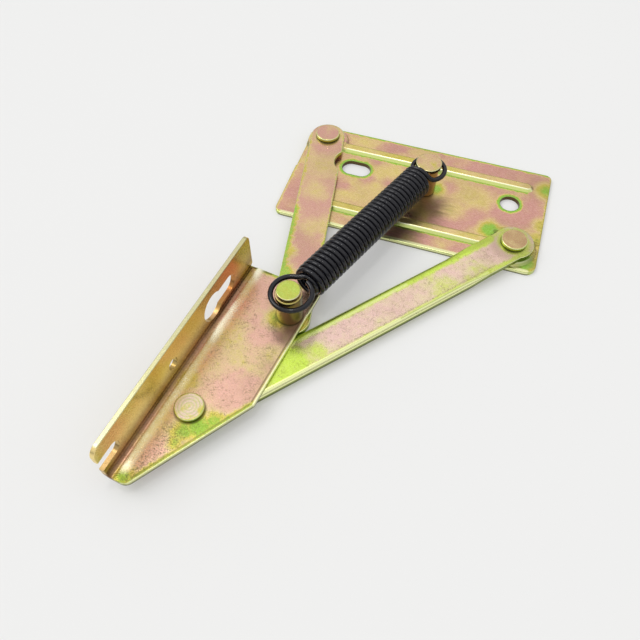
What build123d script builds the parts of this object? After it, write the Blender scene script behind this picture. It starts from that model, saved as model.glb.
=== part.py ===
from build123d import *
from math import atan2, cos, degrees, hypot, pi, radians, sin
import os

# Recliner hinge, rest pose folded flat. Sizes in millimetres.
# Origin: centre of the base plate's round hole, on the plate's back face.
# X runs along the plate's long edge, Y across it, Z up out of its face.

# Base plate
plate_thickness = 2.0
plate_left = 111.0
plate_right = 18.0
plate_top = 26.0
plate_bottom = 41.0
plate_corner_radii = {"pivot": 10.0, "top": 3.2, "bottom_right": 5.0, "bottom_left": 4.0}
plate_edge_step = 0.4
plate_edge_step_y = -7.0
plate_edge_round = 0.5
plate_hole_radius = 4.8
plate_hole_spacing = 80.0
plate_slot_length = 15.0
plate_slot_width = 9.6

# Raised pads under the two plate pivots, and the beads that run from them
pad_rise = 1.5
pad_foot_radius = 11.6
pad_top_radius = 10.2
bead_rise = 1.3
bead_width = 6.6
bead_slope_angle = 52.0
bead_top_round = 1.0
upper_bead_y = 13.7
upper_bead_end_x = 10.0
lower_bead_y = -28.1
lower_bead_end_x = -95.0

# Pivots and spring stud on the plate
short_pivot_x = -100.5
short_pivot_y = 15.2
long_pivot_x = 5.3
long_pivot_y = -27.9
stud_x = -43.0
stud_y = -3.6

# Links
link_thickness = 2.5
link_edge_round = 0.4
short_link_pitch = 117.5
short_link_angle = 9.65
short_link_radius = 8.9
notch_radius = 9.0
notch_corner_radius = 1.0
long_link_half_width = 9.0
long_link_end_radius = 9.6
long_link_flange_depth = 3.75
long_link_flange_wall = 2.3
long_link_bend_radius = 2.2
flange_start = 21.0
flange_full = 33.0

# Angle bracket, in its own frame: origin at the pin, y along the bend, x to the free side
bracket_thickness = 2.0
bracket_angle = -8.0
bracket_bend_radius = 2.0
bracket_back = 16.3
bracket_front = -93.8
bracket_flange_x = -29.4
bracket_free_x = 7.1
bracket_shoulder_y = -44.4
bracket_tip_x = -19.6
bracket_tip_radius = 4.0
bracket_shoulder_radius = 1.5
bracket_back_radius = 1.2
bracket_edge_round = 0.35
bracket_flange_height = 22.9
bracket_rivet_x = -14.9
bracket_rivet_y = -56.9
flange_front_radius = 4.5
flange_back_radius = 2.5
flange_hole_line = 11.2
keyhole_wide_radius = 7.0
keyhole_wide_y = -15.7
keyhole_narrow_width = 9.6
keyhole_narrow_y = -3.2
small_hole_radius = 2.8
small_hole_y = -46.3
open_slot_width = 7.2
open_slot_y = -86.1
relief_radius = 1.6

# Rivets, stud, pin and sleeve
rivet_head_radius = 6.1
rivet_head_height = 2.0
rivet_head_round = 0.45
rivet_shank_radius = 4.0
rivet_tail_radius = 6.0
tail_dome_radius = 5.5
stud_radius = 5.3
stud_head_radius = 6.25
stud_head_height = 2.1
stud_height = 18.5
stud_spigot_radius = 3.5
stud_flare_radius = 4.8
stud_flare_height = 1.0
pin_height = 18.3
pin_head_radius = 5.15
pin_head_height = 1.4
pin_neck_height = 0.7
sleeve_radius = 5.8

# Extension spring
wire_radius = 1.15
coil_radius = 7.85
coil_pitch = 2.56
coil_count = 32
coil_start = 13.4
coil_axis_start_z = 17.8
coil_axis_end_z = 15.2
coil_crest = 0.9
lower_loop_radius = 9.9
lower_loop_z = 22.0
upper_loop_radius = 9.0
upper_loop_z = 17.2
wire_cut_gap = 0.3

# Clearances
running_gap = 0.05
fixed_gap = 0.02
loop_seat_gap = 0.1


def turned(point, angle):
    c, s = cos(radians(angle)), sin(radians(angle))
    return Vector(point.X * c - point.Y * s, point.X * s + point.Y * c)


def at(point, z=0.0):
    return Pos(point.X, point.Y, z)


def cylinder(point, radius, bottom, top):
    return extrude(at(point, bottom) * Circle(radius), amount=top - bottom)


def cone(point, bottom_radius, top_radius, bottom, top):
    return at(point, (bottom + top) / 2) * Cone(bottom_radius, top_radius, top - bottom)


def rounded_corner(sketch, x, y, radius):
    corner = min(sketch.vertices(), key=lambda v: hypot(v.X - x, v.Y - y))
    return fillet(corner, radius)


def along(start, end):
    return degrees(atan2(end.Y - start.Y, end.X - start.X))


def capsule(start, end, radius):
    bar = SlotCenterToCenter((end - start).length, 2 * radius)
    return at((start + end) / 2) * Rot(0, 0, along(start, end)) * bar


def rim_edges(solid, z):
    return solid.edges().filter_by_position(Axis.Z, z - 0.01, z + 0.01)


def save(name, solid):
    export_step(solid, f"parts/{name}.step")


os.makedirs("parts", exist_ok=True)

# Levels of the stack, from the plate's back face up
pad_top = plate_thickness + pad_rise
link_bottom = pad_top + running_gap
link_top = link_bottom + link_thickness
web_bottom = link_top + running_gap
web_top = web_bottom + bracket_thickness

# Pivot places: the short link carries the pin, the bracket carries the rivet, the long link closes the loop
short_pivot = Vector(short_pivot_x, short_pivot_y)
long_pivot = Vector(long_pivot_x, long_pivot_y)
stud_place = Vector(stud_x, stud_y)
bracket_rivet_place = Vector(bracket_rivet_x, bracket_rivet_y)
pin_place = short_pivot + turned(Vector(0, -short_link_pitch), short_link_angle)
rivet_place = pin_place + turned(bracket_rivet_place, bracket_angle)
long_link_pitch = (rivet_place - long_pivot).length

# Base plate: a flat blank with pads and beads pressed up, hollow behind them
slot_centre = Vector(-plate_hole_spacing, 0)
blank = make_face(Polyline([
    (-plate_left, -plate_bottom),
    (plate_right, -plate_bottom),
    (plate_right, plate_top),
    (plate_edge_step - plate_left, plate_top),
    (plate_edge_step - plate_left, plate_edge_step_y + plate_edge_step),
    (-plate_left, plate_edge_step_y),
    (-plate_left, -plate_bottom),
]))
blank = rounded_corner(blank, plate_edge_step - plate_left, plate_top, plate_corner_radii["pivot"])
blank = rounded_corner(blank, plate_right, plate_top, plate_corner_radii["top"])
blank = rounded_corner(blank, plate_right, -plate_bottom, plate_corner_radii["bottom_right"])
blank = rounded_corner(blank, -plate_left, -plate_bottom, plate_corner_radii["bottom_left"])
outline_block = extrude(blank, amount=plate_thickness + pad_rise)


def bead(start_x, end_x, y, width, rise, bottom):
    middle = at(Vector((start_x + end_x) / 2, y), bottom)
    slot = middle * SlotOverall(abs(end_x - start_x), width)
    return extrude(slot, amount=rise, taper=bead_slope_angle)


bead_runs = [
    (short_pivot.X, upper_bead_end_x, upper_bead_y),
    (lower_bead_end_x, long_pivot.X, lower_bead_y),
]
plate = extrude(blank, amount=plate_thickness)
plate = fillet(rim_edges(plate, plate_thickness), plate_edge_round)
for start_x, end_x, y in bead_runs:
    ridge = bead(start_x, end_x, y, bead_width, bead_rise, plate_thickness)
    ridge = fillet(rim_edges(ridge, plate_thickness + bead_rise), bead_top_round)
    plate += ridge
for pivot in (short_pivot, long_pivot):
    pad = cone(pivot, pad_foot_radius, pad_top_radius, plate_thickness, pad_top)
    plate += pad & outline_block
for start_x, end_x, y in bead_runs:
    plate -= bead(start_x, end_x, y, bead_width - plate_thickness, bead_rise, 0)
for pivot in (short_pivot, long_pivot):
    plate -= cone(pivot, pad_foot_radius - pad_rise / 2, pad_top_radius - pad_rise / 2, 0, pad_rise)
    plate -= cylinder(pivot, rivet_shank_radius + fixed_gap, 0, pad_top)
plate -= cylinder(Vector(0, 0), plate_hole_radius, 0, plate_thickness)
plate -= extrude(at(slot_centre) * SlotOverall(plate_slot_length, plate_slot_width), amount=plate_thickness)
plate -= cylinder(stud_place, stud_spigot_radius + fixed_gap, 0, plate_thickness)
plate -= cone(stud_place, stud_flare_radius + fixed_gap, stud_spigot_radius + fixed_gap, 0, stud_flare_height)
save("base_plate", plate)

# Short link: flat bar with a notch concentric with the near end of the plate's slot
slot_near_end = slot_centre + Vector((plate_slot_width - plate_slot_length) / 2, 0)
bar = capsule(short_pivot, pin_place, short_link_radius) - at(slot_near_end) * Circle(notch_radius)
notch_corners = [v for v in bar.vertices() if abs(hypot(v.X - slot_near_end.X, v.Y) - notch_radius) < 0.01]
bar = fillet(notch_corners, notch_corner_radius)
short_link = extrude(at(Vector(0, 0), link_bottom) * bar, amount=link_thickness)
short_link = fillet(rim_edges(short_link, link_top), link_edge_round)
short_link -= cylinder(short_pivot, rivet_shank_radius + running_gap, link_bottom, link_top)
short_link -= cylinder(pin_place, rivet_shank_radius + fixed_gap, link_bottom, link_top)
save("short_link", short_link)

# Long link in its own frame: x from the plate pivot to the bracket rivet, edges turned down
link_foot = link_top - long_link_flange_depth
inner_half_width = long_link_half_width - long_link_flange_wall
strip = Pos(long_link_pitch / 2, 0) * SlotCenterToCenter(long_link_pitch, 2 * long_link_half_width)
hollow = Pos(long_link_pitch / 2, 0) * SlotCenterToCenter(long_link_pitch, 2 * inner_half_width)
flat = extrude(Pos(0, 0, link_bottom) * (strip + Circle(long_link_end_radius)), amount=link_thickness)
flat = fillet(rim_edges(flat, link_top), link_edge_round)
turned_edges = extrude(Pos(0, 0, link_foot) * (strip - hollow), amount=link_bottom - link_foot)
turned_edges -= extrude(Plane.XZ * make_face(Polyline([
    (-long_link_end_radius, link_foot),
    (flange_full, link_foot),
    (flange_start, link_bottom),
    (-long_link_end_radius, link_bottom),
    (-long_link_end_radius, link_foot),
])), amount=long_link_end_radius, both=True)
long_link = flat + turned_edges


def corner_waste(x, side, radius):
    edge = side * long_link_half_width
    inset = edge - side * radius
    return Plane.YZ.offset(x) * make_face([
        Line((inset, link_top), (edge, link_top)),
        Line((edge, link_top), (edge, link_top - radius)),
        RadiusArc((edge, link_top - radius), (inset, link_top), -side * radius),
    ])


for side in (-1, 1):
    start = corner_waste(flange_start, side, link_edge_round)
    full = corner_waste(flange_full, side, long_link_bend_radius)
    long_link -= loft([start, full])
    long_link -= extrude(full, amount=long_link_pitch - flange_full)
long_link = at(long_pivot) * Rot(0, 0, along(long_pivot, rivet_place)) * long_link
long_link -= cylinder(long_pivot, rivet_shank_radius + running_gap, link_bottom, link_top)
long_link -= cylinder(rivet_place, rivet_shank_radius + fixed_gap, link_bottom, link_top)
save("long_link", long_link)

# Angle bracket: bent section, then the web's outline, the flange's outline and its openings
flange_top = web_bottom + bracket_flange_height
section = make_face(Polyline([
    (bracket_flange_x, web_bottom),
    (bracket_free_x, web_bottom),
    (bracket_free_x, web_top),
    (bracket_flange_x + bracket_thickness, web_top),
    (bracket_flange_x + bracket_thickness, flange_top),
    (bracket_flange_x, flange_top),
    (bracket_flange_x, web_bottom),
]))
section = rounded_corner(section, bracket_flange_x, web_bottom, bracket_bend_radius + bracket_thickness)
inner_corner = min(
    section.vertices(),
    key=lambda v: hypot(v.X - bracket_flange_x - bracket_thickness, v.Y - web_top),
)
section = fillet(inner_corner, bracket_bend_radius)
bracket_length = bracket_back - bracket_front
bracket = Pos(0, bracket_back, 0) * extrude(Plane.XZ * section, amount=bracket_length)

web = make_face(Polyline([
    (bracket_flange_x, bracket_back),
    (bracket_free_x, bracket_back),
    (bracket_free_x, bracket_shoulder_y),
    (bracket_tip_x, bracket_front),
    (bracket_flange_x, bracket_front),
    (bracket_flange_x, bracket_back),
]))
web = rounded_corner(web, bracket_free_x, bracket_back, bracket_back_radius)
web = rounded_corner(web, bracket_free_x, bracket_shoulder_y, bracket_shoulder_radius)
web = rounded_corner(web, bracket_tip_x, bracket_front, bracket_tip_radius)
bracket &= extrude(web, amount=flange_top)

hole_z = web_bottom + flange_hole_line
flange = make_face(Polyline([
    (bracket_front, 0),
    (bracket_back, 0),
    (bracket_back, flange_top),
    (bracket_front, flange_top),
    (bracket_front, 0),
]))
flange = rounded_corner(flange, bracket_front, flange_top, flange_front_radius)
flange = rounded_corner(flange, bracket_back, flange_top, flange_back_radius)
narrow_length = keyhole_narrow_y - keyhole_wide_y
flange -= Pos(keyhole_wide_y, hole_z) * Circle(keyhole_wide_radius)
flange -= Pos(keyhole_narrow_y, hole_z) * Circle(keyhole_narrow_width / 2)
flange -= Pos(keyhole_wide_y + narrow_length / 2, hole_z) * Rectangle(narrow_length, keyhole_narrow_width)
flange -= Pos(small_hole_y, hole_z) * Circle(small_hole_radius)
flange -= Pos(open_slot_y, hole_z) * Circle(open_slot_width / 2)
mouth_length = open_slot_y - bracket_front
flange -= Pos(open_slot_y - mouth_length / 2, hole_z) * Rectangle(mouth_length, open_slot_width)
flange_side = Pos(bracket_flange_x, 0, 0)
bracket &= flange_side * extrude(Plane.YZ * flange, amount=bracket_free_x - bracket_flange_x)
relief = Plane.YZ * Pos(bracket_back, web_top + bracket_bend_radius / 2) * Circle(relief_radius)
bracket -= flange_side * extrude(relief, amount=bracket_thickness + bracket_bend_radius)
bend_end = bracket_flange_x + bracket_thickness + bracket_bend_radius
web_rim = [edge for edge in rim_edges(bracket, web_top) if edge.center().X > bend_end + bracket_edge_round]
flange_rim = rim_edges(bracket, flange_top).filter_by(Axis.Y)
bracket = fillet(web_rim + flange_rim, bracket_edge_round)
bracket -= cylinder(Vector(0, 0), rivet_shank_radius + running_gap, web_bottom, web_top)
bracket -= cylinder(bracket_rivet_place, rivet_shank_radius + fixed_gap, web_bottom, web_top)
bracket = at(pin_place) * Rot(0, 0, bracket_angle) * bracket
save("angle_bracket", bracket)


def head(point, radius, bottom, height, edge_round):
    disc = cylinder(point, radius, bottom, bottom + height)
    return fillet(rim_edges(disc, bottom + height), edge_round)


def dome(point, top):
    ball_radius = (top * top + tail_dome_radius * tail_dome_radius) / (2 * top)
    ball = at(point, ball_radius) * Sphere(ball_radius)
    return ball & cylinder(point, tail_dome_radius, 0, top)


# The two rivets in the plate: head on the link, tail sunk in the pad's hollow
plate_rivets = {"short_link_rivet": short_pivot, "long_link_rivet": long_pivot}
for name, pivot in plate_rivets.items():
    rivet = head(pivot, rivet_head_radius, web_bottom, rivet_head_height, rivet_head_round)
    rivet += cylinder(pivot, rivet_shank_radius, pad_rise - fixed_gap, web_bottom)
    rivet += cylinder(pivot, rivet_tail_radius, fixed_gap, pad_rise - fixed_gap)
    save(name, rivet)

# The bracket's rivet, in two halves that part at the face between bracket and long link
rivet_head = head(rivet_place, rivet_head_radius, web_top + fixed_gap, rivet_head_height, rivet_head_round)
rivet_head += cylinder(rivet_place, rivet_shank_radius, web_bottom, web_top + fixed_gap)
save("bracket_rivet_head", rivet_head)
rivet_tail = dome(rivet_place, link_bottom - fixed_gap)
rivet_tail += cylinder(rivet_place, rivet_shank_radius, link_bottom - fixed_gap, link_top)
save("bracket_rivet_tail", rivet_tail)

# Upper spring stud: headed stud, its spigot flared into the back of the plate
stud_top = plate_thickness + stud_height
stud = head(stud_place, stud_head_radius, stud_top - stud_head_height, stud_head_height, rivet_head_round)
stud += cylinder(stud_place, stud_radius, plate_thickness + fixed_gap, stud_top - stud_head_height)
stud += cylinder(stud_place, stud_spigot_radius, 0, plate_thickness + fixed_gap)
stud += cone(stud_place, stud_flare_radius, stud_spigot_radius, 0, stud_flare_height)
save("upper_spring_stud", stud)

# Lower spring pin: domed tail, long shank, thin head; the sleeve stands on the bracket
pin_top = web_top + pin_height
pin_head_bottom = pin_top - pin_head_height
pin = dome(pin_place, link_bottom - fixed_gap)
pin += cylinder(pin_place, rivet_shank_radius, link_bottom - fixed_gap, pin_head_bottom)
pin += head(pin_place, pin_head_radius, pin_head_bottom, pin_head_height, rivet_head_round)
save("lower_spring_pin", pin)
sleeve_top = pin_head_bottom - pin_neck_height
sleeve = cylinder(pin_place, sleeve_radius, web_top + running_gap, sleeve_top)
sleeve = fillet(rim_edges(sleeve, sleeve_top), rivet_head_round)
sleeve -= cylinder(pin_place, rivet_shank_radius + fixed_gap, web_top + running_gap, sleeve_top)
save("lower_pin_sleeve", sleeve)

# Extension spring: coils as a ridged tube, a full loop of wire at each end
spring_way = (stud_place - pin_place).normalized()
coil_length = coil_count * coil_pitch
coil_base = pin_place + spring_way * coil_start + Vector(0, 0, coil_axis_start_z)
coil_tip = pin_place + spring_way * (coil_start + coil_length) + Vector(0, 0, coil_axis_end_z)
coil_axis = (coil_tip - coil_base).normalized()
core_radius = coil_radius - wire_radius
profile = [(core_radius - wire_radius, 0), (core_radius, 0)]
for n in range(coil_count):
    middle = (n + 0.5) * coil_pitch
    profile += [(coil_radius, middle - coil_crest / 2), (coil_radius, middle + coil_crest / 2)]
    profile.append((core_radius, (n + 1) * coil_pitch))
profile += [(core_radius - wire_radius, coil_length), (core_radius - wire_radius, 0)]
coils = Plane(coil_base, z_dir=coil_axis) * revolve(Plane.XZ * make_face(Polyline(profile)), Axis.Z)

spring_side = turned(spring_way, 90)


def loop(post, way, post_radius, loop_radius, z):
    # a ring of wire that bears on the far side of its post, with the middle of its wire line
    centre = post + way * (loop_radius - 2 * wire_radius - post_radius - loop_seat_gap)
    wire_line = loop_radius - wire_radius
    return centre, wire_line, at(centre, z) * Torus(wire_line, wire_radius)


def wire_between(start, end):
    step = end - start
    return extrude(Plane(start, z_dir=step) * Circle(wire_radius), amount=step.length)


upper_centre, upper_line, upper_loop = loop(stud_place, -spring_way, stud_radius, upper_loop_radius, upper_loop_z)
spring = coils + upper_loop
for side in (-1, 1):
    on_loop = upper_centre + (spring_side * side - spring_way) * (upper_line * sin(pi / 4))
    on_coils = coil_tip - coil_axis * wire_radius + spring_side * (side * core_radius)
    spring += wire_between(on_loop + Vector(0, 0, upper_loop_z), on_coils)
save("extension_spring", spring)

lower_centre, lower_line, lower_loop = loop(pin_place, spring_way, sleeve_radius, lower_loop_radius, lower_loop_z)
for side in (-1, 1):
    on_loop = lower_centre + (spring_side * side + spring_way) * (lower_line * sin(pi / 4))
    on_coils = coil_base - coil_axis * (wire_radius + wire_cut_gap) + spring_side * (side * core_radius)
    lower_loop += wire_between(on_loop + Vector(0, 0, lower_loop_z), on_coils)
save("spring_lower_loop", lower_loop)
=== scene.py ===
import math
import bpy
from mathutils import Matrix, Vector


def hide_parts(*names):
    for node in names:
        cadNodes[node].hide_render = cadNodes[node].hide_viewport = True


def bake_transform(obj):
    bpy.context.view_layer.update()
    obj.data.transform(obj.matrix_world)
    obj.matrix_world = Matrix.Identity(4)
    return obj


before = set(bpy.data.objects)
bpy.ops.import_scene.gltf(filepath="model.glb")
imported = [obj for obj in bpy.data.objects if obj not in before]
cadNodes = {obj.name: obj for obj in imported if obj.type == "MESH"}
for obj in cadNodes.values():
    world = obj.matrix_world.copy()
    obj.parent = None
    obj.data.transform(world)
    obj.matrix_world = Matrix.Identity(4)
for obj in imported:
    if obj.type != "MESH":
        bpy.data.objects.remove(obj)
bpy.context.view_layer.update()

mm = 0.001
noiseMiddle = 0.5    # the mean level of a noise


def deselectAll():
    if bpy.context.object and bpy.context.object.mode != "OBJECT":
        bpy.ops.object.mode_set(mode="OBJECT")
    bpy.ops.object.select_all(action="DESELECT")


def linear(red, green, blue):
    # screen colour, 0 to 255, to the shader's linear colour
    def one(level):
        level = level / 255
        return level / 12.92 if level <= 0.04045 else ((level + 0.055) / 1.055) ** 2.4
    return (one(red), one(green), one(blue), 1.0)


def nodeBox(name):
    # a CAD node's lowest and highest corner, which are numbers 0 and 6 of its box, in millimetres
    corners = cadNodes[name].bound_box
    return [[value / mm for value in corners[number]] for number in (0, 6)]


def nodeFoot(name):
    # how high a node's underside is
    low, high = nodeBox(name)
    return low[2]


def nodeAxis(name):
    # where a round node's axis is, seen from above
    low, high = nodeBox(name)
    return (round((low[0] + high[0]) / 2, 2), round((low[1] + high[1]) / 2, 2))


# Camera at the photograph's viewpoint: metres and degrees, lens and sensor in millimetres
cameraView = {
    "place": (-0.0210, -0.24165, 0.2387),
    "tilt": 33.0,
    "turn": 18.1,
    "lens": 35.92,
    "sensorWidth": 36.0,
    "nearClip": 0.005,
}


def addCamera(view):
    deselectAll()
    turned = (math.radians(view["tilt"]), 0, math.radians(view["turn"]))
    bpy.ops.object.camera_add(location=view["place"], rotation=turned)
    camera = bpy.context.object
    camera.name = "viewCamera"
    camera.data.lens = view["lens"]
    camera.data.sensor_width = view["sensorWidth"]
    camera.data.clip_start = view["nearClip"]
    bpy.context.scene.camera = camera


addCamera(cameraView)
bpy.context.scene.view_settings.view_transform = "Standard"
print("camera placed")


# Small helpers for shader trees
def feed(tree, socket, value):
    # links a socket or a node's first output, or sets a plain value
    if isinstance(value, bpy.types.NodeSocket):
        tree.links.new(value, socket)
    elif isinstance(value, bpy.types.Node):
        tree.links.new(value.outputs[0], socket)
    else:
        socket.default_value = value


def addNode(tree, kind, inputs=None, **settings):
    node = tree.nodes.new(kind)
    for name, value in settings.items():
        setattr(node, name, value)
    for socket, value in (inputs or {}).items():
        feed(tree, node.inputs[socket], value)
    return node


def maths(tree, operation, a, b=0.0):
    return addNode(tree, "ShaderNodeMath", {0: a, 1: b}, operation=operation).outputs[0]


def times(tree, first, *others):
    result = first
    for other in others:
        result = maths(tree, "MULTIPLY", result, other)
    return result


def plus(tree, a, b):
    return maths(tree, "ADD", a, b)


def minus(tree, a, b):
    return maths(tree, "SUBTRACT", a, b)


def vectorMaths(tree, operation, a, b=(0, 0, 0), output="Vector"):
    # a length or a dot product comes from the output called Value
    return addNode(tree, "ShaderNodeVectorMath", {0: a, 1: b}, operation=operation).outputs[output]


def scaled(tree, vector, amount):
    return addNode(tree, "ShaderNodeVectorMath", {0: vector, "Scale": amount}, operation="SCALE").outputs[0]


def component(tree, vector, axis):
    return addNode(tree, "ShaderNodeSeparateXYZ", {"Vector": vector}).outputs[axis]


def smooth(tree, value, start, full):
    # a mask: 0 up to start, 1 from full on, eased between; with start the larger it runs the other way
    node = addNode(tree, "ShaderNodeMapRange", {"Value": value, "From Min": start, "From Max": full},
                   interpolation_type="SMOOTHSTEP")
    return node.outputs["Result"]


def noise(tree, place, scale, detail, roughness=0.5, distortion=0.0, output="Fac"):
    node = addNode(tree, "ShaderNodeTexNoise", {
        "Vector": place, "Scale": scale, "Detail": detail, "Roughness": roughness, "Distortion": distortion})
    return node.outputs[output]


def mixColour(tree, amount, a, b):
    # sockets 6 and 7 are the two colours, output 2 the mixed one
    return addNode(tree, "ShaderNodeMix", {"Factor": amount, 6: a, 7: b}, data_type="RGBA").outputs[2]


def strongest(tree, masks):
    # the highest of the masks, and 1 at most
    result = 0.0
    for mask in masks:
        result = maths(tree, "MAXIMUM", result, mask)
    return maths(tree, "MINIMUM", result, 1.0)


def newGroup(name, inputs, outputs):
    # inputs and outputs are labels, listed under the kind of their socket
    group = bpy.data.node_groups.new(name, "ShaderNodeTree")
    for side, sockets in (("INPUT", inputs), ("OUTPUT", outputs)):
        for kind, labels in sockets.items():
            for label in labels:
                group.interface.new_socket(name=label, in_out=side, socket_type="NodeSocket" + kind)
    start = group.nodes.new("NodeGroupInput")
    end = group.nodes.new("NodeGroupOutput")
    return group, start, end


def useGroup(tree, group, inputs):
    return addNode(tree, "ShaderNodeGroup", inputs, node_tree=group)


def buildLineReach():
    # millimetres from the straight line between two points, seen from above
    group, start, end = newGroup("lineReach", {"Vector": ["Place", "From", "To"]}, {"Float": ["Distance"]})
    given = start.outputs
    leastSquare = 1e-6    # stands in for 0 where both points are the same
    flat = vectorMaths(group, "MULTIPLY", given["Place"], (1, 1, 0))
    offset = vectorMaths(group, "SUBTRACT", flat, given["From"])
    run = vectorMaths(group, "SUBTRACT", given["To"], given["From"])
    along = vectorMaths(group, "DOT_PRODUCT", offset, run, "Value")
    square = maths(group, "MAXIMUM", vectorMaths(group, "DOT_PRODUCT", run, run, "Value"), leastSquare)
    share = maths(group, "MAXIMUM", maths(group, "DIVIDE", along, square), 0.0)
    nearest = scaled(group, run, maths(group, "MINIMUM", share, 1.0))
    gap = vectorMaths(group, "SUBTRACT", offset, nearest)
    feed(group, end.inputs["Distance"], vectorMaths(group, "LENGTH", gap, output="Value"))
    return group


# The plating on every zinc piece. A noise has its scale per millimetre, and a window is where a mask
# starts and where it is full.
zincFilm = {
    "clouds": {"noise": {"detail": 2.5, "roughness": 0.5, "distortion": 0.5},
               "window": (0.28, 0.76), "amount": 0.52},
    "aims": {"Straw Mask": 0.50, "Rose Mask": 0.05, "Lime Mask": 1.0},    # where a mark pulls the film to
    "mottle": {"noise": {"scale": 0.35, "detail": 3.0, "roughness": 0.6}, "amount": 0.45},
    "fineMottle": {"noise": {"scale": 1.6, "detail": 3.0, "roughness": 0.65}, "amount": 0.40},
    "tints": {"Straw": (0.0, 0.58), "Olive": (0.42, 0.72), "Lime": (0.66, 1.00)},
    "dull": {"noise": {"scale": 0.05, "detail": 3.0, "roughness": 0.6},
             "window": (0.40, 0.70), "amount": 0.24, "colour": (0.40, 0.26, 0.15, 1)},
    "grain": {"noise": {"scale": 2.6, "detail": 3.0, "roughness": 0.6}},
    "darkGrain": {"window": (0.58, 0.32), "amount": 0.20, "colour": (0.22, 0.17, 0.06, 1)},
    "paleGrain": {"window": (0.48, 0.74), "amount": 0.16, "colour": (1.0, 0.98, 0.85, 1)},
    "specks": {"noise": {"scale": 3.0, "detail": 4.0, "roughness": 0.7, "distortion": 1.2},
               "window": (0.56, 0.66)},
    "speckAreas": {"noise": {"scale": 0.08, "detail": 1.0}, "window": (0.40, 0.60)},
    "flecks": {"noise": {"scale": 2.0, "detail": 4.0, "roughness": 0.75}, "window": (0.48, 0.62)},
    "hairs": {"noise": {"scale": 0.55, "detail": 4.0, "roughness": 0.6, "distortion": 0.6},
              "window": (0.024, 0.006)},
    "hairAreas": {"noise": {"scale": 0.3, "detail": 2.0, "roughness": 0.6}, "window": (0.44, 0.56)},
    "speckAndShadeColour": (0.11, 0.09, 0.03, 1),
    "speckRoughness": 0.2,
    "speckDepth": 1.2,
    "rounded": {"window": (0.99, 0.95), "amount": 0.7, "tint": "Side"},
    "steep": {"window": (0.93, 0.86), "amount": 0.85, "tint": "Edge"},
    "cut": {"window": (0.35, 0.08), "amount": 0.95, "tint": "Side"},
    "roundedPolish": 0.06,
    # painted contact shadow at the foot of every cut face
    "foot": {"rise": (1.2, 0.3), "lift": (0.6, 0.3), "amount": 0.85, "colour": (0.035, 0.032, 0.014, 1)},
    "unevenGloss": {"noise": {"scale": 0.5, "detail": 3.0, "roughness": 0.6}, "amount": 0.14},
    "ragged": {"noise": {"scale": 0.45, "detail": 5.0, "roughness": 0.7}},
    "streak": {"noise": {"scale": 0.7, "detail": 3.0, "roughness": 0.6}, "stretch": (0.12, 1, 1)},
    "spotFade": (1.6, 0.2),    # where a spot starts and is full, times its radius
    "bumpDepth": 0.02,
}


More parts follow.
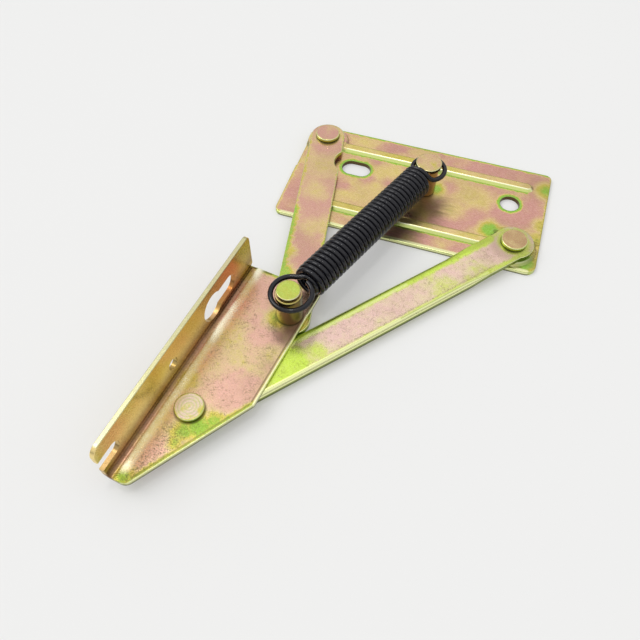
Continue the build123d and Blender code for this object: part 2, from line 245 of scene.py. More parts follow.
def buildZincPlate(film):
    # the tint goes rose, straw, olive, lime as the film's level rises from 0 to 1
    group, start, end = newGroup("zincPlate", {
        "Vector": ["Place", "Facing", "Seed", "Grain Stretch"],
        "Float": ["Lime Mask", "Straw Mask", "Rose Mask", "Dark Mask", "Fleck Mask", "Pale Mask", "Foot",
                  "Cloud Size", "Film", "Mottle", "Hair Amount", "Speck Amount", "Edge Amount", "Dullness"],
        "Color": ["Rose", "Straw", "Olive", "Lime", "Edge", "Side"],
    }, {"Color": ["Colour"], "Float": ["Roughness", "Height"]})
    given = start.outputs
    moved = vectorMaths(group, "ADD", given["Place"], given["Seed"])

    def pattern(name, place=moved):
        return noise(group, place, **film[name]["noise"])

    def mask(name):
        return smooth(group, pattern(name), *film[name]["window"])

    def layOver(colour, name, level):
        amount = times(group, smooth(group, level, *film[name]["window"]), film[name]["amount"])
        return mixColour(group, amount, colour, film[name]["colour"])

    # how thick the film is, in clouds, then pulled to each marked tint and mottled
    cloudScale = maths(group, "DIVIDE", 1.0, given["Cloud Size"])
    clouds = noise(group, moved, cloudScale, **film["clouds"]["noise"])
    clouds = smooth(group, clouds, *film["clouds"]["window"])
    level = plus(group, times(group, clouds, film["clouds"]["amount"]), given["Film"])
    for name, aim in film["aims"].items():
        level = plus(group, level, times(group, minus(group, aim, level), given[name]))
    for name in ("mottle", "fineMottle"):
        amount = times(group, given["Mottle"], film[name]["amount"])
        level = plus(group, level, times(group, minus(group, pattern(name), noiseMiddle), amount))
    colour = given["Rose"]
    for name, window in film["tints"].items():
        colour = mixColour(group, smooth(group, level, *window), colour, given[name])
    colour = layOver(colour, "dull", pattern("dull"))

    # grain of the sheet
    grain = pattern("grain", vectorMaths(group, "MULTIPLY", moved, given["Grain Stretch"]))
    colour = layOver(colour, "darkGrain", grain)
    colour = layOver(colour, "paleGrain", grain)

    # specks in some areas, broken flecks where marked, and hair lines; the dark marks, mostly painted shade,
    # join them in one colour
    specks = times(group, mask("specks"), mask("speckAreas"), given["Speck Amount"])
    flecks = times(group, mask("flecks"), given["Fleck Mask"])
    wander = maths(group, "ABSOLUTE", minus(group, pattern("hairs"), noiseMiddle))
    hairs = smooth(group, wander, *film["hairs"]["window"])
    hairs = times(group, hairs, mask("hairAreas"), given["Hair Amount"])
    # the dark marks, mostly painted shadows and reflections, take the speck colour too
    for more in (flecks, hairs, given["Dark Mask"]):
        specks = maths(group, "MAXIMUM", specks, more)
    colour = mixColour(group, specks, colour, film["speckAndShadeColour"])

    # a face that starts to round off takes the Side colour, a steeper slope the Edge colour as a painted
    # highlight, and an upright cut face the Side colour, the plating's lime tint darkened as painted shade;
    # highlight marks add painted highlight in the Edge colour; lift is 1 on a level face and 0 on an upright
    # one
    lift = maths(group, "ABSOLUTE", component(group, given["Facing"], "Z"))
    edges = {}
    for name in ("rounded", "steep", "cut"):
        edge = film[name]
        edges[name] = times(group, smooth(group, lift, *edge["window"]), edge["amount"], given["Edge Amount"])
        colour = mixColour(group, edges[name], colour, given[edge["tint"]])
    colour = mixColour(group, given["Pale Mask"], colour, given["Edge"])

    # painted contact shadow darkens the foot of a cut face
    rise = minus(group, component(group, given["Place"], "Z"), given["Foot"])
    foot = film["foot"]
    paintedFootShadow = times(group, smooth(group, rise, *foot["rise"]), smooth(group, lift, *foot["lift"]))
    colour = mixColour(group, times(group, paintedFootShadow, foot["amount"]), colour, foot["colour"])

    uneven = times(group, minus(group, pattern("unevenGloss"), noiseMiddle), film["unevenGloss"]["amount"])
    rough = plus(group, given["Dullness"], uneven)
    rough = minus(group, rough, times(group, edges["rounded"], film["roundedPolish"]))
    rough = plus(group, rough, times(group, specks, film["speckRoughness"]))
    feed(group, end.inputs["Colour"], colour)
    feed(group, end.inputs["Roughness"], rough)
    feed(group, end.inputs["Height"], minus(group, grain, times(group, specks, film["speckDepth"])))
    return group


lineReach = buildLineReach()
zincPlate = buildZincPlate(zincFilm)


def startMaterial(name):
    # place is where a point is on the piece, in millimetres
    material = bpy.data.materials.new(name)
    material.use_nodes = True
    tree = material.node_tree
    coordinates = tree.nodes.new("ShaderNodeTexCoord")
    place = vectorMaths(tree, "MULTIPLY", coordinates.outputs["Object"], (1 / mm, 1 / mm, 1 / mm))
    return material, tree, place


def facingOf(tree):
    return tree.nodes["Texture Coordinate"].outputs["Normal"]


def reach(tree, place, start, end):
    # how far the place is from a line, in millimetres
    inputs = {"Place": place, "From": (*start, 0), "To": (*end, 0)}
    return useGroup(tree, lineReach, inputs).outputs["Distance"]


def around(centre, full, none, strength):
    # a disc, as a line without length
    return (centre, centre, full, none, strength)


def marks(tree, place, look, name):
    # spots are (centre, radius, strength); lines are (start, end, full within, none beyond, strength)
    outer, inner = zincFilm["spotFade"]
    masks = []
    for centre, radius, strength in look.get(name + "Spots", []):
        fade = smooth(tree, reach(tree, place, centre, centre), radius * outer, radius * inner)
        masks.append(times(tree, fade, strength))
    for start, end, full, none, strength in look.get(name + "Lines", []):
        masks.append(times(tree, smooth(tree, reach(tree, place, start, end), none, full), strength))
    return masks


def raggedPlace(tree, place, amount):
    # moved a little every way, so that a mark's edge is uneven
    shift = noise(tree, place, **zincFilm["ragged"]["noise"], output="Color")
    shift = vectorMaths(tree, "SUBTRACT", shift, (noiseMiddle, noiseMiddle, noiseMiddle))
    return vectorMaths(tree, "ADD", place, scaled(tree, shift, amount))


def streakedPlace(tree, place, amount):
    # moved along X, so that a mark runs out in streaks
    stretched = vectorMaths(tree, "MULTIPLY", place, zincFilm["streak"]["stretch"])
    slide = minus(tree, noise(tree, stretched, **zincFilm["streak"]["noise"]), noiseMiddle)
    slide = addNode(tree, "ShaderNodeCombineXYZ", {"X": times(tree, slide, amount)})
    return vectorMaths(tree, "ADD", place, slide)


def finishZinc(tree, place, look, extraLime=(), edges=1.0):
    # edges says how far rounded edges and cut faces show; hands back the shader and its plating's colour
    ragged = raggedPlace(tree, place, look["ragged"])
    streaked = streakedPlace(tree, place, look["streak"])
    # dark marks are mostly painted shade; highlight marks are painted highlights
    masks = {
        "lime": marks(tree, ragged, look, "lime") + list(extraLime),
        "straw": marks(tree, ragged, look, "straw"),
        "rose": marks(tree, ragged, look, "rose"),
        "dark": marks(tree, streaked, look, "dark"),
        "fleck": marks(tree, place, look, "fleck"),
        "pale": marks(tree, place, look, "pale"),
    }
    inputs = {name.capitalize() + " Mask": strongest(tree, masks[name]) for name in masks}
    inputs.update({tint.capitalize(): look[tint + "Colour"]
                   for tint in ("rose", "straw", "olive", "lime", "edge", "side")})
    inputs.update({
        "Place": place, "Facing": facingOf(tree), "Seed": look["seed"], "Foot": look["foot"],
        "Cloud Size": look["cloudSize"], "Film": look["film"], "Mottle": look["mottle"],
        "Hair Amount": look["hairs"], "Speck Amount": look["specks"], "Grain Stretch": look["grain"],
        "Edge Amount": edges, "Dullness": look["dullness"]})
    plating = useGroup(tree, zincPlate, inputs)
    shader = tree.nodes["Principled BSDF"]
    shader.inputs["Metallic"].default_value = look["metallic"]
    feed(tree, shader.inputs["Base Color"], plating.outputs["Colour"])
    feed(tree, shader.inputs["Roughness"], plating.outputs["Roughness"])
    bump = addNode(tree, "ShaderNodeBump", {
        "Height": plating.outputs["Height"], "Strength": look["bump"],
        "Distance": zincFilm["bumpDepth"] * mm})
    feed(tree, shader.inputs["Normal"], bump)
    return shader, plating.outputs["Colour"]


def dress(name, material):
    node = cadNodes[name]
    node.data.materials.clear()
    node.data.materials.append(material)


# What the zinc pieces share; each piece's look may change it. Places are in millimetres, seen from
# above, and foot is the height at which a piece's cut faces begin.
zincLook = {
    "roseColour": linear(222, 168, 154),
    "strawColour": linear(232, 204, 148),
    "oliveColour": linear(218, 202, 92),
    "limeColour": linear(154, 208, 76),
    # edgeColour is a painted highlight on slopes and rounded edges; sideColour is the cut faces' lime tint,
    # darkened as painted shade
    "edgeColour": linear(250, 250, 196),
    "sideColour": linear(184, 202, 84),
    "film": 0.02,
    "ragged": 3.0,
    "streak": 0.0,
    "mottle": 1.0,
    "hairs": 0.0,
    "grain": (1.0, 1.0, 1.0),
    "metallic": 0.95,
    "dullness": 0.27,
    "bump": 0.35,
}
shortLinkPivot = nodeAxis("short_link_rivet")
longLinkPivot = nodeAxis("long_link_rivet")
pinAxis = nodeAxis("lower_spring_pin")
studAxis = nodeAxis("upper_spring_stud")

# Base plate: its corners, and its holes and beads as the lines along their middles
plateLow, plateHigh = nodeBox("base_plate")
frontLeft, frontRight = (plateLow[0], plateLow[1]), (plateHigh[0], plateLow[1])
backLeft, backRight = (plateLow[0], plateHigh[1]), (plateHigh[0], plateHigh[1])
roundHole = ((0, 0), (0, 0))
slotHole = ((-82.7, 0), (-77.3, 0))
upperBead = ((-97, 13.7), (7, 13.7))
lowerBead = ((-92, -28.1), (5, -28.1))


def alongBead(bead, aside, full, none, strength):
    # a line of marks so far behind the bead's middle
    start, end = [(x, y + aside) for x, y in bead]
    return (start, end, full, none, strength)


plateLook = {
    **zincLook,
    "seed": (3.0, 9.0, 0.0),
    "foot": nodeFoot("base_plate"),
    "streak": 16.0,
    "roseColour": linear(219, 160, 150),
    "strawColour": linear(238, 212, 140),
    "cloudSize": 17.0,
    "specks": 0.10,
    "grain": (0.30, 1.0, 1.0),
    "mottle": 0.5,
    "bump": 0.22,
    "limeSpots": [((-6.4, -20.2), 5.5, 1.1), ((-36.8, -1.0), 4.0, 0.9), ((12.4, -35.5), 7.0, 1.0),
                  ((0.0, -20.0), 4.0, 0.8), ((16.5, 14.5), 6.0, 0.9), ((17.0, -9.4), 4.5, 0.6),
                  ((16.0, -21.0), 5.5, 0.7)],
    "limeLines": [(*roundHole, 5.6, 7.2, 1.0), (*slotHole, 5.6, 7.2, 1.0),
                  around(longLinkPivot, 10.5, 14.0, 0.6),
                  (frontLeft, frontRight, 0.3, 2.4, 0.8), (backLeft, backRight, 0.8, 2.0, 0.9),
                  (frontRight, backRight, 0.3, 1.6, 0.6), (frontLeft, backLeft, 0.3, 2.0, 0.5),
                  alongBead(upperBead, -3.4, 0.5, 1.3, 0.9), alongBead(lowerBead, -3.4, 0.5, 1.3, 0.9),
                  alongBead(upperBead, 0.3, 1.4, 2.8, 0.4), alongBead(lowerBead, 0.3, 1.4, 2.8, 0.4)],
    # dark marks, streaked along X: the first three are the painted shadow and reflection of the spring, the
    # last two darker patches at the right end; then a painted contact shadow round the long link's end,
    # darker lines along the back and right edges, and painted shade at the front foot of each bead
    "darkSpots": [((-37.5, -14.5), 9.5, 0.7), ((-35.0, -24.0), 7.0, 0.35), ((-45.0, -36.0), 9.0, 0.5),
                  ((14.0, 18.0), 9.0, 0.2), ((15.0, -35.0), 4.0, 0.35)],
    "darkLines": [around(longLinkPivot, 11.6, 12.6, 0.5), (backLeft, backRight, 0.1, 0.7, 0.5),
                  (frontRight, backRight, 0.1, 0.7, 0.4),
                  alongBead(upperBead, -3.1, 0.1, 0.5, 0.5), alongBead(lowerBead, -3.2, 0.1, 0.5, 0.6)],
    "strawSpots": [((-17.0, -0.3), 9.0, 1.2), ((-61.2, 3.8), 6.0, 1.0), ((-81.3, 20.9), 5.0, 1.0),
                   ((-52.8, 22.0), 4.0, 0.7), ((-26.0, -13.0), 7.0, 0.9), ((-70.0, -14.0), 9.0, 0.8),
                   ((-68.0, 0.0), 6.0, 1.0)],
    "roseSpots": [((-67.0, 21.5), 6.0, 0.7), ((2.0, -8.0), 9.0, 0.9), ((-103.0, -25.0), 10.0, 0.9),
                  ((-15.0, -13.0), 6.0, 0.6), ((-10.0, 20.0), 14.0, 0.9), ((-60.0, -37.0), 12.0, 0.6),
                  ((11.0, 3.0), 6.0, 0.9), ((-31.0, 2.0), 5.0, 0.7), ((-73.0, -4.0), 4.0, 0.8)],
    # painted highlight along the front edge
    "paleLines": [((-107, -40.3), (14, -40.3), 0.6, 1.5, 0.8)],    # along the front edge
    "edgeFacing": (0.05, 0.35),    # an edge that faces left or right stays plain
    "padCentres": [longLinkPivot, shortLinkPivot],
    "padWindow": (12.5, 12.1),
    "padDullness": 0.75,
    # painted highlight on the front-facing slopes of beads and pads
    "nearSlopeHighlight": {"start": (-0.25, -0.55), "end": (-0.95, -0.80), "heights": (2.75, 3.15),
                  "footColour": linear(204, 216, 130), "colour": linear(255, 250, 220)},
    "holes": [roundHole, slotHole],
    # the holes' walls are painted dark as shade
    "holeWallWindow": (5.05, 4.85),
    "holeWallShadeColour": linear(96, 78, 50),
}


def buildPlateZinc(look):
    material, tree, place = startMaterial("plateZinc")
    towardsBack = component(tree, facingOf(tree), "Y")
    height = component(tree, place, "Z")
    pads = [smooth(tree, reach(tree, place, centre, centre), *look["padWindow"])
            for centre in look["padCentres"]]
    offPads = minus(tree, 1.0, times(tree, strongest(tree, pads), look["padDullness"]))
    edges = smooth(tree, maths(tree, "ABSOLUTE", towardsBack), *look["edgeFacing"])
    shader, plating = finishZinc(tree, place, look, edges=times(tree, edges, offPads))

    # painted highlight on the slopes of the beads and pads that face the front, paler towards their tops
    slope = look["nearSlopeHighlight"]
    near = times(tree, smooth(tree, towardsBack, *slope["start"]), smooth(tree, towardsBack, *slope["end"]))
    sheen = mixColour(tree, smooth(tree, height, *slope["heights"]), slope["footColour"], slope["colour"])
    colour = mixColour(tree, times(tree, near, offPads), plating, sheen)
    # painted shade on the walls of the holes
    holeWallShade = [smooth(tree, reach(tree, place, *hole), *look["holeWallWindow"]) for hole in look["holes"]]
    colour = mixColour(tree, strongest(tree, holeWallShade), colour, look["holeWallShadeColour"])
    feed(tree, shader.inputs["Base Color"], colour)
    return material


dress("base_plate", buildPlateZinc(plateLook))
print("base plate plated")

# Links; faces turned towards dullSide get no painted edge highlight and no Side colour
shortLinkLook = {
    **zincLook,
    "seed": (40.0, 2.0, 0.0),
    "foot": nodeFoot("short_link"),
    "dullSide": (0.0, 0.0, 0.0), "dullWindow": (0.25, 0.10),
    "ragged": 6.0,
    "mottle": 0.7,
    "cloudSize": 17.0,
    "specks": 0.05,
    "limeSpots": [((-93.5, -66.0), 4.0, 0.7), ((-91.5, -78.0), 5.0, 0.9), ((-78.0, -104.0), 8.0, 0.7)],
    "limeLines": [((-100.2, -40.0), (-89.6, -102.0), 1.0, 4.4, 0.9),    # left edge, lower part
                  ((-91.7, 16.7), (-72.0, -99.1), 0.2, 0.9, 0.5),    # right edge
                  ((-79.6, -54.0), (-72.0, -99.1), 0.4, 2.2, 0.8),    # right edge, lower part
                  ((-109.3, 13.7), (-100.2, -40.0), 0.3, 2.0, 0.5),    # left edge, upper part
                  around(shortLinkPivot, 6.2, 7.4, 0.3)],
    "strawSpots": [((-96.6, -7.1), 8.0, 1.0), ((-94.0, -26.0), 7.0, 0.9), ((-88.4, -50.7), 4.5, 1.0)],
    "roseSpots": [((-86.0, -66.0), 11.0, 1.0), ((-92.0, -38.0), 7.0, 0.7), ((-100.0, 6.0), 6.0, 0.6)],
    # painted contact shadow round the rivet head
    "darkLines": [around((-100.3, 14.8), 6.1, 6.9, 0.5)],
}
longLinkLook = {
    **zincLook,
    "seed": (11.0, 23.0, 0.0),
    "foot": nodeFoot("long_link"),
    "dullSide": (-0.7595, 0.6505, 0.0), "dullWindow": (0.25, 0.10),
    "cloudSize": 9.0,
    "specks": 0.5,
    "hairs": 0.5,
    "film": 0.08,
    "roseColour": linear(246, 208, 198),
    "strawColour": linear(240, 224, 178),
    "oliveColour": linear(226, 230, 132),
    "limeColour": linear(216, 244, 94),
    # edgeColour is a painted highlight; sideColour is the walls' lime tint, darkened as painted shade
    "edgeColour": linear(252, 254, 190),
    "sideColour": linear(120, 136, 48),
    "limeSpots": [((-74.0, -125.0), 11.0, 1.5), ((-64.5, -113.0), 5.0, 0.7), ((-22.2, -64.3), 6.0, 0.5),
                  ((-96.0, -150.0), 14.0, 1.2)],
    "limeLines": [around(longLinkPivot, 6.4, 9.2, 0.75),
                  ((-8.0, -29.6), (-110.3, -149.1), 2.8, 5.4, 1.0),    # far edge
                  ((-1.5, -22.0), (-20.0, -43.6), 0.3, 3.0, 0.7),    # far edge beside the pivot
                  ((12.1, -33.8), (-96.6, -160.8), 1.4, 3.4, 0.8)],    # near edge
    "roseSpots": [((-50.0, -97.5), 9.0, 0.7), ((-37.5, -76.9), 9.0, 0.6), ((-3.0, -36.0), 8.0, 0.9)],
    # painted contact shadow round the rivet head, painted shade round the link's end, and darker lines along
    # the far side
    "darkLines": [around((5.1, -28.2), 6.1, 6.9, 0.5), around(longLinkPivot, 9.0, 14.0, 0.25),
                  ((-10.0, -33.7), (-108.8, -149.9), 0.8, 1.8, 0.22),
                  ((-1.0, -22.6), (-14.0, -37.8), 1.0, 3.0, 0.25)],
    "fleckLines": [((-18.0, -43.0), (-109.0, -149.2), 0.1, 0.7, 0.8),
                   ((-1.0, -44.8), (-58.0, -111.4), 0.1, 0.7, 0.9)],
    # painted highlights along the link's bends
    "paleLines": [((-37.0, -68.0), (-107.4, -151.6), 0.3, 1.1, 0.45),
                  ((-3.2, -49.7), (-97.5, -159.9), 0.2, 0.9, 0.35),
                  ((-35.0, -86.8), (-97.5, -159.9), 0.4, 1.0, 0.7)],
}


def buildLinkZinc(name, look):
    material, tree, place = startMaterial(name)
    turned = vectorMaths(tree, "DOT_PRODUCT", facingOf(tree), look["dullSide"], "Value")
    finishZinc(tree, place, look, edges=smooth(tree, turned, *look["dullWindow"]))
    return material


dress("short_link", buildLinkZinc("shortLinkZinc", shortLinkLook))
dress("long_link", buildLinkZinc("longLinkZinc", longLinkLook))
print("links plated")

# Angle bracket: web, bend and a warmer flange
bracketLook = {
    **zincLook,
    "seed": (7.0, 51.0, 0.0),
    "foot": nodeFoot("angle_bracket"),
    "cloudSize": 15.0,
    "specks": 0.8,
    "hairs": 0.7,
    "roseColour": linear(234, 183, 166),
    "strawColour": linear(228, 204, 150),
    "limeColour": linear(152, 190, 66),
    "sideColour": linear(150, 160, 70),
    "limeSpots": [((-115.5, -188.0), 4.5, 0.95), ((-97.0, -161.0), 6.0, 1.0), ((-101.4, -164.4), 5.0, 0.9),
                  ((-92.3, -157.0), 4.0, 0.9), ((-109.6, -143.6), 4.0, 0.35), ((-102.5, -170.0), 3.5, 0.7),
                  ((-85.3, -104.6), 5.5, 0.8), ((-118.0, -154.0), 4.5, 0.5), ((-108.3, -85.5), 5.0, 0.6)],
    "limeLines": [((-71.5, -85.5), (-80.0, -145.6), 0.2, 1.8, 0.5),    # right edge
                  ((-80.0, -145.6), (-113.3, -190.8), 0.8, 3.2, 0.8),    # slanting edge
                  ((-107.6, -80.4), (-71.5, -85.4), 0.5, 3.0, 0.9)],    # back edge
    "strawSpots": [((-110.0, -143.7), 8.0, 1.0), ((-102.0, -119.4), 9.0, 1.0), ((-98.7, -125.1), 8.0, 0.8),
                   ((-101.0, -136.0), 7.0, 0.8), ((-82.0, -121.0), 6.0, 1.0)],
    "roseSpots": [((-91.0, -143.6), 9.0, 1.0), ((-87.0, -112.5), 6.5, 0.9), ((-97.8, -92.4), 8.0, 0.8),
                  ((-109.5, -175.5), 7.0, 0.9), ((-110.7, -101.0), 6.0, 1.0), ((-119.5, -165.0), 6.0, 0.9),
                  ((-121.5, -179.0), 7.0, 0.8)],
    # painted shadow under the sleeve, darker marks at the slot's end and near the right edge, painted shade
    # along the right, slanting and back edges, and painted contact shadows round the sleeve and the rivet
    # head
    "darkSpots": [((-123.0, -189.6), 1.6, 0.8), ((-120.8, -190.0), 1.8, 0.7), ((-80.0, -126.7), 4.0, 0.25),
                  ((-77.0, -108.5), 5.5, 0.5)],
    "darkLines": [((-73.0, -86.5), (-81.3, -144.5), 0.2, 0.5, 0.7),
                  ((-81.8, -145.9), (-112.4, -187.4), 0.2, 0.5, 0.5),
                  around(pinAxis, 6.0, 6.9, 0.6), around((-103.3, -155.3), 6.1, 7.0, 0.6),
                  ((-105.0, -81.5), (-96.0, -82.7), 0.2, 0.9, 0.7)],
    "fleckLines": [((-83.0, -120.0), (-84.5, -140.0), 1.0, 5.0, 0.6),
                   ((-104.0, -166.0), (-112.0, -186.0), 2.0, 9.0, 1.0)],
    # painted highlights along the web's free edges
    "paleLines": [((-71.7, -86.6), (-80.1, -145.4), 0.35, 0.8, 0.9),
                  ((-80.1, -145.8), (-113.0, -190.2), 0.2, 0.6, 0.45)],
    # windows of height, of reach from the flange's foot, or of the place along Y
    "footLine": ((-104.9, -80.8), (-120.2, -189.8)),
    "plainBend": {"reach": (5.0, 4.0), "heights": (12.5, 11.5)},    # the bend is no edge
    "flangeHeights": (8.3, 11.5),
    "flangeAmount": 0.85,
    "backColour": linear(208, 160, 74),
    "frontColour": linear(255, 232, 156),
    "backToFront": (-88.0, -168.0),
    "redColour": linear(232, 120, 70),
    "redSpots": [((-108.5, -97.5), 9.0, 0.5), ((-121.5, -182.0), 9.0, 0.15)],
    "goldColour": linear(226, 196, 66),
    "goldSpots": [((-107.8, -85.0), 6.0, 0.6), ((-115.0, -136.0), 14.0, 0.3), ((-117.8, -154.0), 6.0, 0.7)],
    "shadeColour": linear(122, 80, 38),
    "flangeShade": {"heights": (21.5, 12.0), "lowest": (9.0, 14.5), "amount": 0.72},
    "footShade": {"reach": (1.7, 0.4), "heights": (11.5, 10.5), "amount": 0.74},
    "bendSheen": {"foot": (1.3, 2.3), "web": (6.4, 2.8), "heights": (10.0, 9.0), "front": (-188.0, -184.0),
                  "amount": 0.9, "colour": linear(255, 250, 222)},
    "topEdge": {"heights": (28.6, 28.8), "amount": 0.85, "colour": linear(208, 208, 166)},
}


def buildBracketZinc(look):
    material, tree, place = startMaterial("bracketZinc")
    height = component(tree, place, "Z")
    along = component(tree, place, "Y")
    fromFoot = reach(tree, place, *look["footLine"])
    bend = look["plainBend"]
    plain = times(tree, smooth(tree, fromFoot, *bend["reach"]), smooth(tree, height, *bend["heights"]))
    shader, plating = finishZinc(tree, place, look, edges=minus(tree, 1.0, plain))

    warm = mixColour(tree, smooth(tree, along, *look["backToFront"]), look["backColour"], look["frontColour"])
    for tint in ("red", "gold"):
        warm = mixColour(tree, strongest(tree, marks(tree, place, look, tint)), warm, look[tint + "Colour"])
    flange = times(tree, smooth(tree, height, *look["flangeHeights"]), look["flangeAmount"])
    colour = mixColour(tree, flange, plating, warm)

    shade, foot = look["flangeShade"], look["footShade"]
    shaded = times(tree, smooth(tree, height, *shade["heights"]), shade["amount"],
                   smooth(tree, height, *shade["lowest"]))
    atFoot = times(tree, smooth(tree, fromFoot, *foot["reach"]), smooth(tree, height, *foot["heights"]),
                   foot["amount"])
    colour = mixColour(tree, maths(tree, "MAXIMUM", shaded, atFoot), colour, look["shadeColour"])

    sheen = look["bendSheen"]
    bright = times(tree, smooth(tree, fromFoot, *sheen["foot"]), smooth(tree, fromFoot, *sheen["web"]),
                   smooth(tree, height, *sheen["heights"]), smooth(tree, along, *sheen["front"]),
                   sheen["amount"])
    colour = mixColour(tree, bright, colour, sheen["colour"])
    top = look["topEdge"]
    topMask = times(tree, smooth(tree, height, *top["heights"]), top["amount"])
    colour = mixColour(tree, topMask, colour, top["colour"])
    feed(tree, shader.inputs["Base Color"], colour)
    return material


dress("angle_bracket", buildBracketZinc(bracketLook))
print("bracket plated")

# Rivets, stud, pin and sleeve: what they share, then what is each one's own
headLook = {
    **zincLook,
    "radius": 6.1,
    "foot": -100.0,    # below everything, so no painted shadow at the foot
    "cloudSize": 9.0,
    "specks": 0.05,
    "dullness": 0.25,
    "lime": 0.0,
    "limeReach": 2.0,    # times the radius
    "rimWidth": 0.9, "rimAmount": 0.5,
    "ringSpacing": 1.35,
    "ringWindow": (0.2, 1.0),
    "ringAmount": 0.12,
    "ringColour": linear(176, 186, 84),
}
# a sideColour here is the cut faces' tint with painted shade, darkest on the sleeve; an edgeColour is a
# painted highlight
heads = {
    "short_link_rivet": {"seed": (5.0, 0.0, 0.0), "film": -0.1, "foot": 6.05},
    "long_link_rivet": {"seed": (15.0, 4.0, 0.0), "film": 0.0, "foot": 6.05,
                        "roseColour": linear(198, 156, 118)},
    "bracket_rivet_head": {"seed": (25.0, 3.0, 0.0), "film": 0.25, "foot": 8.1,
                           "strawColour": linear(228, 210, 190), "ringAmount": 0.45},
    "bracket_rivet_tail": {"seed": (35.0, 3.0, 0.0), "lime": 0.1, "film": 0.1},
    "upper_spring_stud": {"radius": 6.25, "seed": (45.0, 8.0, 0.0), "lime": 0.2, "film": 0.1, "foot": 2.0,
                          "sideColour": linear(150, 120, 78)},
    "lower_spring_pin": {"radius": 5.15, "seed": (55.0, 8.0, 0.0), "lime": 0.9, "film": 0.2,
                         "limeColour": linear(196, 216, 92), "sideColour": linear(140, 112, 64)},
    "lower_pin_sleeve": {"radius": 5.8, "seed": (65.0, 8.0, 0.0), "film": 0.1, "foot": 8.1,
                         "sideColour": linear(104, 76, 66), "edgeColour": linear(206, 190, 120),
                         "dullness": 0.34},
}


def buildHeadZinc(name, look):
    material, tree, place = startMaterial(name + "Zinc")
    centre, radius = nodeAxis(name), look["radius"]
    fromAxis = reach(tree, place, centre, centre)
    rim = times(tree, smooth(tree, fromAxis, radius - look["rimWidth"], radius), look["rimAmount"])
    look = {**look, "limeSpots": [(centre, radius * look["limeReach"], look["lime"])]}
    shader, plating = finishZinc(tree, place, look, extraLime=[rim])
    rings = maths(tree, "SINE", times(tree, fromAxis, 2 * math.pi / look["ringSpacing"]))
    rings = times(tree, smooth(tree, rings, *look["ringWindow"]), look["ringAmount"])
    feed(tree, shader.inputs["Base Color"], mixColour(tree, rings, plating, look["ringColour"]))
    return material


for name, head in heads.items():
    dress(name, buildHeadZinc(name, {**headLook, **head}))
print("rivets plated")

# Extension spring: one wire, coiled, with a full loop at each end; millimetres and degrees
springWire = {
    "wireRadius": 1.18,
    "roundness": 3,
    "coilMeanRadius": 6.70,
    "turns": 32,
    "pitch": 2.56,
    "coilStart": 13.4,
    "startHeight": 17.8,
    "endHeight": 15.2,
    "stepsPerTurn": 24,
    "closingTurns": 1, "closingRise": 1.2,
    "pin": pinAxis, "stud": studAxis,
    "pinLoop": {"radius": 8.75, "height": 22.0, "shift": 1.7, "aside": 0.0, "from": 28.0, "to": 350.0},
    "studLoop": {"radius": 7.85, "height": 17.2, "shift": 0.95, "aside": 0.8, "from": 58.0, "to": 318.0},
    "loopSteps": 40,
    "joinSteps": 8,
}
springCoat = {
    "colour": linear(16, 16, 22),
    "sheen": 0.42,
    "leastRoughness": 0.04,
    "dustColour": linear(32, 32, 40),
    "dustNoise": {"scale": 1.8, "detail": 4.0, "roughness": 0.6},
    "dustWindow": (0.45, 0.75),
    "dustRoughness": 0.2,
    "bump": 0.2, "bumpDepth": 0.02,
}


def springRoute(wire):
    pin = Vector((*wire["pin"], 0))
    stud = Vector((*wire["stud"], 0))
    way = (stud - pin).normalized()
    side = Vector((-way.y, way.x, 0))
    up = Vector((0, 0, 1))
    length = wire["turns"] * wire["pitch"]
    first = pin + way * wire["coilStart"] + up * wire["startHeight"]
    last = pin + way * (wire["coilStart"] + length) + up * wire["endHeight"]
    axis = (last - first).normalized()
    rise = side.cross(axis) * -1

    # one more turn at the pin's end closes in until the wire is level with its loop
    coil = []
    steps = wire["turns"] * wire["stepsPerTurn"]
    closing = wire["closingTurns"] * wire["stepsPerTurn"]
    closedRadius = wire["pinLoop"]["height"] - wire["startHeight"]
    for step in range(-closing, steps + 1):
        turn = 2 * math.pi * step / wire["stepsPerTurn"] + math.pi / 2
        spoke = side * math.cos(turn) + rise * math.sin(turn)
        closed = max(0, -step) / max(1, closing)
        radius = wire["coilMeanRadius"] * (1 - closed) + closedRadius * closed
        centre = first.lerp(last, max(0, step) / steps) - axis * (wire["closingRise"] * closed)
        coil.append(centre + spoke * radius)

    def loop(post, ring, toCoil, sideways):
        # from the side nearest the coils, round the post and back
        centre = post + toCoil * ring["shift"] + sideways * ring["aside"] + up * ring["height"]
        points = []
        for step in range(wire["loopSteps"] + 1):
            turn = math.radians(ring["from"] + (ring["to"] - ring["from"]) * step / wire["loopSteps"])
            points.append(centre + (toCoil * math.cos(turn) + sideways * math.sin(turn)) * ring["radius"])
        return points

    def ease(a, aWay, b, bWay):
        # a smooth curve that leaves a along aWay and comes in at b along bWay, without its two ends
        span = (b - a).length
        points = []
        for step in range(1, wire["joinSteps"]):
            t = step / wire["joinSteps"]
            points.append(a * (2 * t ** 3 - 3 * t ** 2 + 1) + aWay * span * (t ** 3 - 2 * t ** 2 + t)
                          + b * (3 * t ** 2 - 2 * t ** 3) + bWay * span * (t ** 3 - t ** 2))
        return points

    pinLoop = loop(pin, wire["pinLoop"], way, side)
    studLoop = loop(stud, wire["studLoop"], -way, -side)
    startWay = (coil[0] - coil[1]).normalized()
    endWay = (coil[-1] - coil[-2]).normalized()
    pinJoin = ease(coil[0], startWay, pinLoop[0], (pinLoop[1] - pinLoop[0]).normalized())
    studJoin = ease(coil[-1], endWay, studLoop[0], (studLoop[1] - studLoop[0]).normalized())
    return pinLoop[::-1] + pinJoin[::-1] + coil + studJoin + studLoop


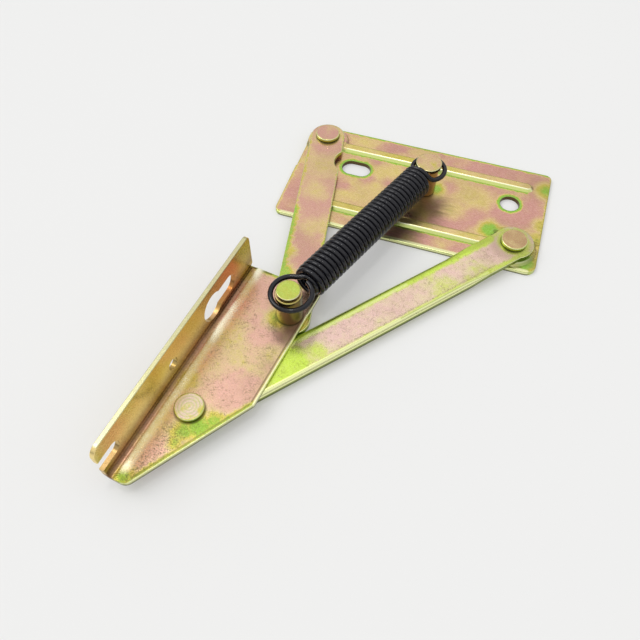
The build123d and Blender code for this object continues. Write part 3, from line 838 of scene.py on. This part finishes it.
def buildSpring(wire):
    deselectAll()
    bpy.ops.curve.primitive_nurbs_path_add(location=(0, 0, 0))
    spring = bpy.context.object
    spring.name = "springWire"
    spring.data.splines.clear()
    route = springRoute(wire)
    spline = spring.data.splines.new("POLY")
    spline.points.add(len(route) - 1)
    for point, place in zip(spline.points, route):
        point.co = (*(place * mm), 1)
    spring.data.bevel_depth = wire["wireRadius"] * mm
    spring.data.bevel_resolution = wire["roundness"]
    spring.data.use_fill_caps = True
    bpy.ops.object.convert(target="MESH")
    bpy.ops.object.shade_smooth()
    return spring


def buildSpringBlack(coat):
    material, tree, place = startMaterial("springBlack")
    shader = tree.nodes["Principled BSDF"]
    shader.inputs["Specular IOR Level"].default_value = coat["sheen"]
    dust = noise(tree, place, **coat["dustNoise"])
    colour = mixColour(tree, smooth(tree, dust, *coat["dustWindow"]), coat["colour"], coat["dustColour"])
    rough = plus(tree, times(tree, dust, coat["dustRoughness"]), coat["leastRoughness"])
    bump = addNode(tree, "ShaderNodeBump", {
        "Height": dust, "Strength": coat["bump"], "Distance": coat["bumpDepth"] * mm})
    feed(tree, shader.inputs["Base Color"], colour)
    feed(tree, shader.inputs["Roughness"], rough)
    feed(tree, shader.inputs["Normal"], bump)
    return material


spring = buildSpring(springWire)
spring.data.materials.append(buildSpringBlack(springCoat))

# the wire stretches from the stud to the pin
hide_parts("extension_spring", "spring_lower_loop")
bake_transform(spring)
print("spring wound")

# Pale floor and soft studio light, in metres and degrees; the world's grey goes from horizon to zenith
studio = {
    "floorSize": 6.0,
    "floorColour": linear(207, 207, 206),
    "floorRoughness": 0.75,
    "floorSheen": 0.15,
    "glowColour": (1, 1, 1, 1), "floorGlow": 0.18,
    "horizon": 0.16,
    "middle": 0.80, "middleAt": 0.5,
    "zenith": 1.04,
    "lampPlace": (-0.15, -0.05, 1.30), "lampSize": 0.14, "lampPower": 1.3, "lampAim": (-0.06, -0.07, 0.0),
    "sunPlace": (-1.07, 0.07, 1.45), "sunStrength": 0.72, "sunAngle": 32.0, "sunAim": (0.0, 0.0, 0.0),
}


def layFloor(look):
    deselectAll()
    bpy.ops.mesh.primitive_plane_add(size=look["floorSize"], location=(0, 0, 0))
    floor = bpy.context.object
    floor.name = "studioFloor"
    paper = bpy.data.materials.new("floorPaper")
    paper.use_nodes = True
    shader = paper.node_tree.nodes["Principled BSDF"]
    shader.inputs["Base Color"].default_value = look["floorColour"]
    shader.inputs["Roughness"].default_value = look["floorRoughness"]
    shader.inputs["Specular IOR Level"].default_value = look["floorSheen"]
    shader.inputs["Emission Color"].default_value = look["glowColour"]
    shader.inputs["Emission Strength"].default_value = look["floorGlow"]
    floor.data.materials.append(paper)


def addLamp(kind, name, place, aim):
    deselectAll()
    bpy.ops.object.light_add(type=kind, location=place)
    lamp = bpy.context.object
    lamp.name = name
    lamp.rotation_euler = (Vector(aim) - Vector(place)).to_track_quat("-Z", "Y").to_euler()
    return lamp.data


def lightStudio(look):
    lamp = addLamp("AREA", "topLamp", look["lampPlace"], look["lampAim"])
    lamp.shape = "DISK"
    lamp.size = look["lampSize"]
    lamp.energy = look["lampPower"]
    sun = addLamp("SUN", "sideSun", look["sunPlace"], look["sunAim"])
    sun.energy = look["sunStrength"]
    sun.angle = math.radians(look["sunAngle"])

    world = bpy.data.worlds.new("studioWorld")
    world.use_nodes = True
    tree = world.node_tree
    direction = tree.nodes.new("ShaderNodeTexCoord").outputs["Generated"]
    ramp = addNode(tree, "ShaderNodeValToRGB", {"Fac": component(tree, direction, "Z")})
    stops = ramp.color_ramp.elements
    stops[0].color = (look["horizon"],) * 3 + (1,)
    stops[1].color = (look["zenith"],) * 3 + (1,)
    stops.new(look["middleAt"]).color = (look["middle"],) * 3 + (1,)
    feed(tree, tree.nodes["Background"].inputs["Color"], ramp)
    bpy.context.scene.world = world


layFloor(studio)
lightStudio(studio)
print("studio lit")
